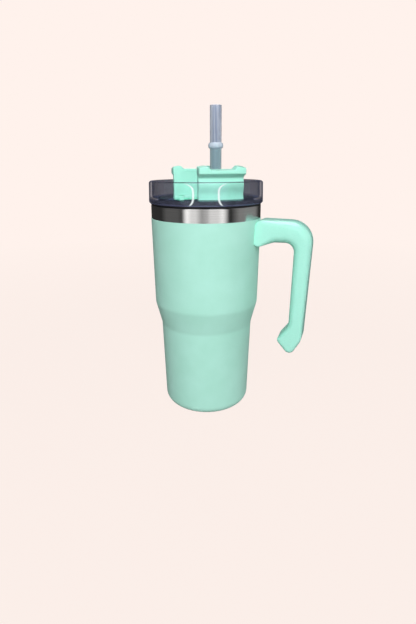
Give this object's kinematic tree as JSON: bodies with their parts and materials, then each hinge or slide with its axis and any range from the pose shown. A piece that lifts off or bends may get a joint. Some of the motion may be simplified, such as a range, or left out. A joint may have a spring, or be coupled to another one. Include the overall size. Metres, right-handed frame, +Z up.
{
  "type": "insulated travel mug",
  "caption": "Stepped vacuum-insulated steel mug with an open-ended side handle and a clear press-in lid carrying hinged flaps and a straw.",
  "frame": {"origin": "centre of the base's underside", "axes": "+Z up along the mug's axis, +X towards the handle"},
  "size_m": [0.1336, 0.0926, 0.25],
  "materials": {
    "mint_coat": "satin powder coat, fine grain",
    "brushed_steel": "brushed around the axis",
    "inner_steel": "satin, electropolished",
    "copper": "bright foil",
    "getter_metal": "matt sintered pill",
    "seal_metal": "dull solder bead",
    "mint_handle": "satin moulded, fine texture",
    "handle_core": "glass-filled nylon",
    "screw_steel": "zinc plated",
    "mint_cap": "soft matt",
    "smoke_clear": "clear smoke-tinted copolyester",
    "dark_seal": "soft matt",
    "clear_silicone": "translucent silicone",
    "mint_flap": "satin-gloss moulded",
    "straw_clear": "frosted translucent polypropylene"
  },
  "bodies": {
    "mug": {"powder_coat": "mint_coat", "outer_wall": "brushed_steel", "inner_liner": "inner_steel", "copper_foil": "copper", "getter": "getter_metal", "outer_bottom": "inner_steel", "vacuum_seal": "seal_metal", "base_cover": "brushed_steel", "handle_bracket": "screw_steel", "handle_core": "handle_core", "handle_grip": "mint_handle", "handle_screws": "screw_steel", "handle_screw_caps": "mint_cap"},
    "lid": {"lid_shell": "smoke_clear", "rim_seal": "dark_seal", "plug_seal": "clear_silicone", "hinge_base": "mint_flap", "hinge_base_seal": "clear_silicone", "straw_grommet": "clear_silicone", "front_hinge_pin": "screw_steel", "back_hinge_pin": "screw_steel"},
    "front_flap": {"front_flap": "mint_flap", "front_stopper": "clear_silicone"},
    "back_flap": {"back_flap": "mint_flap", "back_stopper": "clear_silicone"},
    "straw": {"straw": "straw_clear"}
  },
  "joints": [
    {"name": "lid_lift", "type": "slide", "parent": "mug", "child": "lid", "axis": [0, 0, 1], "range_m": [0, 0.06]},
    {"name": "front_flap_hinge", "type": "hinge", "parent": "lid", "child": "front_flap", "pos_m": [0.02052, -0.02403, 0.178], "axis": [-0.7604, -0.6494, 0], "range_deg": [0, 90]},
    {"name": "back_flap_hinge", "type": "hinge", "parent": "lid", "child": "back_flap", "pos_m": [-0.02052, 0.02403, 0.178], "axis": [0.7604, 0.6494, 0], "range_deg": [0, 90]},
    {"name": "straw_lift", "type": "slide", "parent": "lid", "child": "straw", "axis": [0, 0, 1], "range_m": [0, 0.24]}
  ]
}
